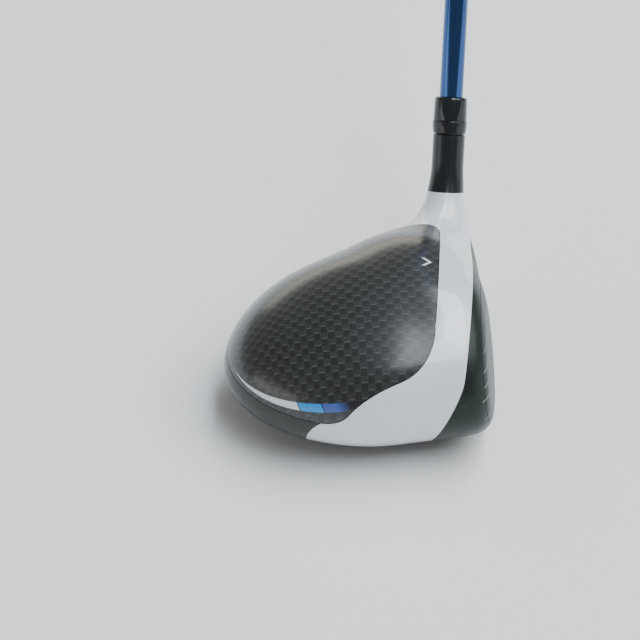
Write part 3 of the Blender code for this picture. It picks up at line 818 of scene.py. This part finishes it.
def carbon_crown():
    """Woven carbon under satin lacquer with painted sheen and highlights on its tows, and the painted
    band and the mark on top of it.
    """
    s = Surface("carbon_crown", (0.02, 0.021, 0.023), 0.34, coat=0.9, coat_roughness=0.2)
    s.set("Specular IOR Level", 0.25)
    weave = Weave(s)
    # Painted light: tows along x are painted lighter than tows along y as a sheen, a dash near each
    # one's lower edge is a painted highlight, and edge draws pale painted highlight lines along two
    # sides of every square.
    painted_tow_highlight = (weave.v + 0.34).abs().below(0.09, 0.10) * weave.u.abs().below(0.40, 0.12)
    edge = (weave.u.abs() - 0.47).abs().below(0.035, 0.05)
    light = weave.over * (weave.fibres * 0.05 + 0.20) + weave.over * painted_tow_highlight * 0.55
    light = light + edge * 0.16 + s.noise(900.0) * 0.16 + s.noise(40.0, 1.0) * 0.22 - 0.08
    dark, pale = (0.0055, 0.006, 0.0065), (0.062, 0.065, 0.064)
    base = s.mix(light.clamped(), dark, pale)
    band, measure = stripe_masks(s)
    deep = s.mix(measure.below(STRIPE_DEEP, 6.0), (0.012, 0.012, 0.014), (0.05, 0.10, 0.36))
    colors = s.mix(measure.below(STRIPE_BLUE, 0.15), deep, (0.0, 0.27, 0.66))
    colors = s.mix(measure.below(STRIPE_WHITE, 0.15), colors, (0.72, 0.73, 0.74))
    lines = (measure - STRIPE_WHITE).abs().min((measure - STRIPE_BLUE).abs()).below(0.22, 0.12)
    colors = s.mix(lines, colors, (0.008, 0.008, 0.01))
    base = s.mix(band, base, colors)
    mark = alignment_mark(s)
    s.color(s.mix(mark, base, (0.62, 0.64, 0.66)))
    painted = band.max(mark)
    s.link(painted * -0.1 + s.noise(500.0) * 0.1 + 0.32, "Roughness")
    s.bump(weave.height * (painted * -1.0 + 1.0), 0.03, strength=0.5)
    return s.made


def alignment_mark(s):
    """A plain chevron behind the face, pointing at the ball."""
    x, y = s.x - 11.0, (s.y - 10.5).abs()
    arm = (x + y * 1.1 - 2.6).abs() - 0.75
    return arm.max(y - 2.6).below(0.0, 0.12)


def carbon_satin():
    """The sole's carbon, rubbed a little paler where it meets the turf, with painted sheen and
    highlights on its tows.
    """
    s = Surface("carbon_satin", (0.02, 0.021, 0.023), 0.45)
    weave = Weave(s)
    rub = s.z.below(0.6, 1.2) * s.noise(250.0)
    # Painted light: tows along x are painted lighter than tows along y as a sheen, and weave.height
    # paints a highlight on each tow's arch; rub is real wear.
    light = weave.over * (weave.fibres * 0.1 + 0.4) + weave.height * 0.25 + rub * 0.3
    s.color(s.mix(light.clamped(), (0.008, 0.008, 0.009), (0.045, 0.046, 0.049)))
    s.link(rub * 0.25 + 0.42, "Roughness")
    s.bump(weave.height, 0.04, strength=0.5)
    return s.made


SCORE_PITCH, SCORE_WIDTH = 5.0, 0.2
SCORE_REAR = 34.2  # no line reaches behind this x
SCORE_MIDDLE, SCORE_REACH = (-7.0, 32.0), (34.0, 27.0)  # their field's middle and half size, in y and z
SCORE_STAGGER = 2.5  # how far the lines' ends are out of step


def face_titanium():
    """Dark satin titanium, tinted green by a painted reflection of the turf, with pale score lines from
    heel to toe and tiny scratches.
    """
    s = Surface("face_titanium", (0.02, 0.024, 0.022), 0.36, metallic=0.35)
    s.set("Specular IOR Level", 0.3)
    grain = s.noise(1500.0, 2.0)
    row = s.z / SCORE_PITCH
    stagger = (row.op("FLOOR") * 2.4).sin() * SCORE_STAGGER
    sideways = (s.y - stagger - SCORE_MIDDLE[0]).abs().below(SCORE_REACH[0], 0.5)
    inside = sideways * (s.z - SCORE_MIDDLE[1]).abs().below(SCORE_REACH[1], 0.5)
    offset = (row.fract() - 0.5).abs() * SCORE_PITCH
    line = offset.below(SCORE_WIDTH, 0.15) * inside * (s.x - SCORE_REAR).clamped()
    scratch = s.noise(260.0, 6.0).op("POWER", 4.0)
    # The green in these colours is a painted reflection of the turf on dark grey titanium.
    shade = s.mix(grain, (0.010, 0.015, 0.013), (0.022, 0.030, 0.026))
    shade = s.mix(scratch * 0.35, shade, (0.09, 0.10, 0.10))
    s.color(s.mix(line, shade, (0.30, 0.34, 0.32)))
    s.link(grain * 0.12 + line * 0.2 + 0.30, "Roughness")
    s.bump(grain * 0.12 - line, 0.08, strength=0.5)
    return s.made


def blue_shaft():
    """Metallic blue lacquer with fine flake under a clear coat."""
    s = Surface("blue_lacquer", (0.02, 0.08, 0.22), 0.2, metallic=1.0, coat=0.5, coat_roughness=0.02)
    flake = s.noise(6000.0, 1.0)
    drift = s.noise(40.0, 2.0)
    fine = s.mix(flake, (0.020, 0.072, 0.22), (0.038, 0.105, 0.29))
    s.color(s.mix(drift * 0.35, fine, (0.02, 0.07, 0.23)))
    s.link(flake * 0.08 + drift * 0.04 + 0.12, "Roughness")
    s.bump(flake, 0.003)
    return s.made


def grip_rubber():
    """Black rubber with rows of small raised ribs round the grip."""
    s = Surface("grip_rubber", (0.018, 0.018, 0.02), 0.75)
    height = (s.y - HOSEL_FOOT[1]) * HOSEL_AXIS[1] + s.z * HOSEL_AXIS[2]
    side = s.x - HOSEL_FOOT[0]
    ribs = ((height * 1.6).sin() * (side * 2.2).sin()).below(0.15, 0.3)
    grain = s.noise(2500.0)
    s.color(s.mix(grain, (0.012, 0.012, 0.013), (0.03, 0.03, 0.032)))
    s.link(grain * 0.2 + 0.65, "Roughness")
    s.bump(ribs * -0.8 + grain * 0.2, 0.35, strength=0.7)
    return s.made


def metal(name, color, roughness):
    s = Surface(name, color, roughness, metallic=1.0)
    vary(s, color, tuple(0.8 * c for c in color), 1200.0, roughness, 0.12)
    s.bump(s.noise(3000.0, 2.0), 0.004)
    return s.made


def plain(name, color, roughness):
    s = Surface(name, color, roughness)
    vary(s, color, tuple(1.25 * c for c in color), 800.0, roughness, 0.1)
    s.bump(s.noise(2000.0, 2.0), 0.01)
    return s.made


# --- Build the object -----------------------------------------------------------------------------


def build_head(paint, dark, inside, hosel_black):
    skin = head_skin()
    names = list(SEAMS)
    face = face_titanium()
    cast = skin_piece("head_casting", skin, -1, WALL, [paint, dark, inside, face])
    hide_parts("body_frame")
    parts = (
        ("crown_skin", "crown_panel", CROWN_WALL, carbon_crown(), "carbon"),
        ("face_skin", "face_plate", FACE_WALL, face, "face_titanium"),
        ("sole_toe_skin", "sole_toe_panel", SOLE_WALL, carbon_satin(), "carbon_matte"),
        ("sole_heel_skin", "sole_heel_panel", SOLE_WALL, carbon_satin(), "carbon_matte"),
        ("slot_skin", "slot_insert", SLOT_WALL, plain("slot_resin", (0.01, 0.07, 0.26), 0.5),
         "slot_resin"),
    )
    for name, node, wall, made_of, slot in parts:
        piece = skin_piece(name, skin, names.index(node), wall, [made_of])
        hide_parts(node)
    foot = skin_piece("hosel_flare", skin, names.index("flare"), WALL, [hosel_black])
    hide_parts("hosel")
    upper = [
        (NECK_RADIUS, FLARE_TOP), (BORE_RADIUS, FLARE_TOP), (BORE_RADIUS, HOSEL_TOP),
        (NECK_RADIUS - 0.3, HOSEL_TOP), (NECK_RADIUS, HOSEL_TOP - 0.3),
    ]
    turned("hosel_barrel", upper, hosel_black, "head", ["hosel"])


def build_sleeve(hosel_black):
    """The loft sleeve: a splined tube under a collar that fills the step to the ferrule."""
    low, high, collar = HOSEL_TOP + 0.3, 94.3, 7.3
    bore, bore_end = 4.9, 61.6
    tube, foot, screw_hole = 5.3, 52.6, 2.65
    spline, spline_low, spline_depth = 5.6, 81.0, 0.3
    profile = rounded([
        (bore, high), (collar - 0.15, high), (collar, high - 0.3), (collar - 0.05, high - 2.2),
        (collar - 0.35, low + 0.4), (collar - 0.6, low), (spline, low), (spline, spline_low),
        (tube, spline_low), (tube, foot + 0.8), (tube - 0.7, foot), (screw_hole, foot),
        (screw_hole, bore_end), (bore, bore_end),
    ], 0.25)

    def splines(angle, radius, height):
        outside = spline - 0.2 < radius < spline + 0.1
        toothed = outside and spline_low - 0.5 < height < low + 0.3
        return radius - spline_depth * (math.cos(12 * angle) < 0) if toothed else radius

    turned("sleeve_turned", profile, hosel_black, "shaft_assembly", ["loft_sleeve"],
           steps=144, ripple=splines)


def build_ferrule():
    bore, outer, low, high, shoulder = 5.25, 6.85, 94.45, 104.3, 1.1
    profile = [(bore, high), (outer - shoulder, high)]
    profile += quarter_arc(outer - shoulder, high - shoulder, shoulder)
    profile += [(outer + 0.1, 100.0), (outer + 0.2, low + 0.4), (outer + 0.1, low), (bore, low)]
    turned("ferrule_turned", profile, black_gloss("ferrule_gloss", roughness=0.1), "shaft_assembly",
           ["ferrule"])


def shaft_radius(height):
    """The shaft is straight up to TAPER_START and then widens steadily to the butt."""
    share = max(0.0, (height - TAPER_START) / (CLUB_LENGTH - TAPER_START))
    return TIP_RADIUS + TAPER * share


def build_shaft():
    """The tube is thinner at its tip, in the sleeve, up to a step inside the ferrule."""
    butt, step, tip, seat = CLUB_LENGTH - 4.3, 96.3, 62.0, 4.6
    profile = [(shaft_radius(h), h) for h in np.linspace(butt, step, 24)]
    profile += [(seat, step - 1.5), (seat, tip), (3.6, tip), (3.95, TAPER_START), (6.6, butt)]
    turned("shaft_lacquered", profile, blue_shaft(), "shaft_assembly", ["shaft"])


def build_grip():
    """The grip swells from mouth to butt, and a cap with a vent hole closes its end."""
    end, butt = CLUB_LENGTH, CLUB_LENGTH - 4.0
    mouth, bore = butt - 268.0, 6.4
    narrow, swell, rows = 9.6, 3.8, 40
    profile = [(8.4, butt - 0.3)]
    for share in (k / (rows - 1) for k in range(rows)):
        profile.append((narrow + swell * (1 - share) ** 1.25, butt - 0.3 - share * 266.0))
    profile += [(9.3, mouth + 0.5), (8.8, mouth), (bore, mouth), (bore, mouth + 1.0)]
    turned("grip_moulded", profile, grip_rubber(), "shaft_assembly", ["grip"], steps=128)
    vent, groove, edge = 1.5, 0.4, 1.6
    cap = [(vent, end), (3.5, end), (3.9, end - groove), (9.4, end - groove), (9.8, end)]
    cap += quarter_arc(11.8, end - edge, edge)
    cap += [(11.8 + edge, butt), (vent, butt)]
    turned("grip_cap_moulded", cap, plain("cap_rubber", (0.015, 0.015, 0.016), 0.6), "shaft_assembly",
           ["grip_end_cap"])


def lobes(angle, radius, _height):
    """Rounded lobes in the wall of a screw's socket, and in all else near its axis."""
    if radius >= SOCKET_REACH:
        return radius
    return radius * (1 + LOBE_SHARE * math.cos(SOCKET_LOBES * angle))


def threads(radius, low, high, pitch, depth):
    """Profile points of a thread's crests and roots, from high down to low."""
    points = []
    height = high
    while height - pitch > low:
        points += [(radius - depth, height), (radius, height - pitch / 2)]
        height -= pitch
    return points


def build_screws(steel):
    """The adapter screw with its socket below, its washer, and the ring that keeps it in."""
    low, top, thread_low = 24.0, 59.0, 48.0
    head, head_radius, shank, socket = low + 4.5, 4.1, 2.2, 2.0
    profile = [(0.0, top), (1.7, top), (2.0, top - 0.4)]
    profile += threads(2.3, thread_low, top - 0.8, 0.8, 0.35)
    profile += [
        (shank, thread_low), (shank, head + 0.3), (2.5, head), (3.8, head),
        (head_radius, head - 0.3), (head_radius, low + 0.5), (3.6, low), (socket + 0.05, low),
        (socket, low + 0.1), (socket, low + 2.6), (0.0, low + 2.6),
    ]
    turned("adapter_screw_turned", profile, steel, "adapter_screw", ["adapter_screw"],
           ripple=lobes, steps=144)
    hole, rim, under, over = 2.65, 4.3, head + 0.3, head + 1.2
    ring = rounded([(hole, under), (rim, under), (rim, over), (hole, over)], 0.15)
    turned("washer_turned", ring, steel, "screw_washer", ["screw_washer"])
    turns = [math.tau * k / 16 for k in range(16)]
    loop = [(3.2 + 0.6 * math.cos(t), 45.7 + 0.7 * math.sin(t)) for t in turns]
    turned("retainer_ring", loop, plain("ring_rubber", (0.02, 0.02, 0.022), 0.7), "adapter_screw",
           ["screw_retainer"], steps=64)


def build_weight(steel, inner_metal):
    """Heights here run from the sole's surface into the head."""
    cup = rounded([
        (8.3, 10.0), (8.3, 0.2), (7.7, 0.2), (7.7, 8.8), (2.2, 8.8), (2.2, 10.0),
    ], 0.2)
    turned("weight_cup_turned", cup, inner_metal, "head", ["weight_cup"],
           place=WEIGHT_MATRIX)
    puck = rounded([
        (7.4, 6.0), (7.4, 0.6), (6.6, 0.1), (5.2, 0.0), (4.9, 0.35), (3.9, 0.35), (3.5, 0.6),
        (3.5, 3.0), (2.2, 3.0), (2.2, 6.0),
    ], 0.15)
    turned("weight_puck", puck, steel, "rear_weight", ["rear_weight"], place=WEIGHT_MATRIX)
    screw = [(0.0, 13.0), (1.6, 13.0), (1.8, 12.6)]
    screw += threads(1.9, 4.0, 12.2, 0.7, 0.3)
    screw += [(1.8, 3.4), (1.8, 2.7), (3.0, 2.7), (3.2, 2.5), (3.2, 0.9), (2.9, 0.6), (1.65, 0.6),
              (1.6, 0.7), (1.6, 1.8), (0.0, 1.8)]
    turned("weight_screw_turned", screw, metal("dark_steel", (0.10, 0.10, 0.11), 0.3), "weight_screw",
           ["weight_screw"], place=WEIGHT_MATRIX, steps=144, ripple=lobes)


def dress_hidden(inner_metal):
    """The CAD solids that keep their own shape get their materials."""
    kept = {
        "bore_tube": inner_metal,
        "grip_tape": plain("grip_tape_paper", (0.55, 0.54, 0.5), 0.85),
        "shaft_tip_plug": plain("plug_foam", (0.62, 0.6, 0.52), 0.9),
    }
    for node, made_of in kept.items():
        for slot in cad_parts[node].material_slots:
            slot.material = made_of


# --- Stage, light and camera ----------------------------------------------------------------------

TARGET = Vector((-29.0, 16.4, 25.0)) * MM
CAMERA_AZIMUTH, CAMERA_ELEVATION, CAMERA_ROLL = -2.7, 41.2, 4.15
CAMERA_DISTANCE, CAMERA_LENS = 1.0, 134.9


def build_camera():
    azimuth, elevation, roll = (
        math.radians(v) for v in (CAMERA_AZIMUTH, CAMERA_ELEVATION, CAMERA_ROLL)
    )
    back = Vector((
        math.sin(azimuth) * math.cos(elevation),
        -math.cos(azimuth) * math.cos(elevation),
        math.sin(elevation),
    ))
    right = Vector((math.cos(azimuth), math.sin(azimuth), 0.0))
    up = back.cross(right)
    x_axis = right * math.cos(roll) + up * math.sin(roll)
    y_axis = up * math.cos(roll) - right * math.sin(roll)
    data = bpy.data.cameras.new("camera")
    data.lens = CAMERA_LENS
    data.clip_end = 100.0
    camera = bpy.data.objects.new("camera", data)
    bpy.context.scene.collection.objects.link(camera)
    turn = Matrix((x_axis, y_axis, back)).transposed().to_4x4()
    camera.matrix_world = Matrix.Translation(TARGET + back * CAMERA_DISTANCE) @ turn
    bpy.context.scene.camera = camera


def area_light(name, direction, distance, size, power, color=(1.0, 1.0, 1.0)):
    """A softbox that looks at the head. size is its level side and its other side.

    The first side of one that hangs nearly overhead runs along Y.
    """
    data = bpy.data.lights.new(name, "AREA")
    data.shape = "RECTANGLE"
    data.size, data.size_y = size
    data.energy = power
    data.color = color
    light = bpy.data.objects.new(name, data)
    bpy.context.scene.collection.objects.link(light)
    way = Vector(direction).normalized()
    guide = Vector((-1.0, 0.0, 0.0)) if way.z > 0.7 else Vector((0.0, 0.0, 1.0))
    across = guide.cross(way).normalized()
    turn = Matrix((across, way.cross(across), way)).transposed().to_4x4()
    light.matrix_world = Matrix.Translation(TARGET + way * distance) @ turn


LAMPS = (
    ("overhead", (0.21, 0.08, 1.0), 3.2, (5.4, 0.7), 84.0, (0.82, 0.92, 1.0)),
    ("side_right", (0.92, -0.34, 0.13), 1.6, (1.2, 0.30), 1.6, (0.95, 0.98, 1.0)),
    ("side_left", (-0.90, -0.46, 0.13), 1.6, (1.3, 0.30), 2.4, (1.0, 0.98, 0.95)),
    ("heel_side", (-0.25, 1.0, 0.16), 1.8, (1.4, 0.35), 3.0, (1.0, 0.92, 0.80)),
)
GLINTS = (-0.45, -0.05, 0.3)  # y of the directions to three small lamps that glint on the neck


def build_stage():
    size = 30.0
    mesh = bpy.data.meshes.new("floor")
    corners = [(-size, -size), (size, -size), (size, size), (-size, size)]
    mesh.from_pydata([(x, y, 0.0) for x, y in corners], [], [(0, 1, 2, 3)])
    floor = bpy.data.objects.new("floor", mesh)
    bpy.context.scene.collection.objects.link(floor)
    s = Surface("floor_paper", (0.88, 0.88, 0.88), 0.9)
    vary(s, (0.87, 0.87, 0.87), (0.89, 0.89, 0.89), 3.0, 0.9, 0.04)
    mesh.materials.append(s.made)
    world = bpy.data.worlds.new("studio")
    world.use_nodes = True
    sky = world.node_tree.nodes["Background"]
    sky.inputs["Color"].default_value = (0.96, 0.98, 1.0, 1.0)
    sky.inputs["Strength"].default_value = 0.30
    bpy.context.scene.world = world


def build_lights():
    sun = bpy.data.lights.new("sky_panel", "SUN")
    sun.energy, sun.angle = 2.8, math.radians(56.0)
    sun.color = (0.90, 0.96, 1.0)
    lamp = bpy.data.objects.new("sky_panel", sun)
    bpy.context.scene.collection.objects.link(lamp)
    lamp.rotation_mode = "QUATERNION"
    lamp.rotation_quaternion = Vector((0.60, 0.04, 1.0)).to_track_quat("Z", "Y")
    for lamp_values in LAMPS:
        area_light(*lamp_values)
    for sideways in GLINTS:
        area_light("glint_neck", (0.62, sideways, 0.73), 1.5, (0.04, 0.04), 0.3)


def main():
    steel = metal("satin_steel", (0.50, 0.51, 0.53), 0.28)
    inner_metal = metal("cast_metal", (0.30, 0.30, 0.31), 0.45)
    hosel_black = black_gloss("hosel_gloss")
    dark = black_gloss("skirt_gloss", (0.009, 0.011, 0.010), 0.2, coat=0.2)
    build_head(white_paint(), dark, inner_metal, hosel_black)
    build_sleeve(hosel_black)
    build_ferrule()
    build_shaft()
    build_grip()
    build_screws(steel)
    build_weight(steel, inner_metal)
    dress_hidden(inner_metal)
    build_stage()
    build_lights()
    build_camera()


main()
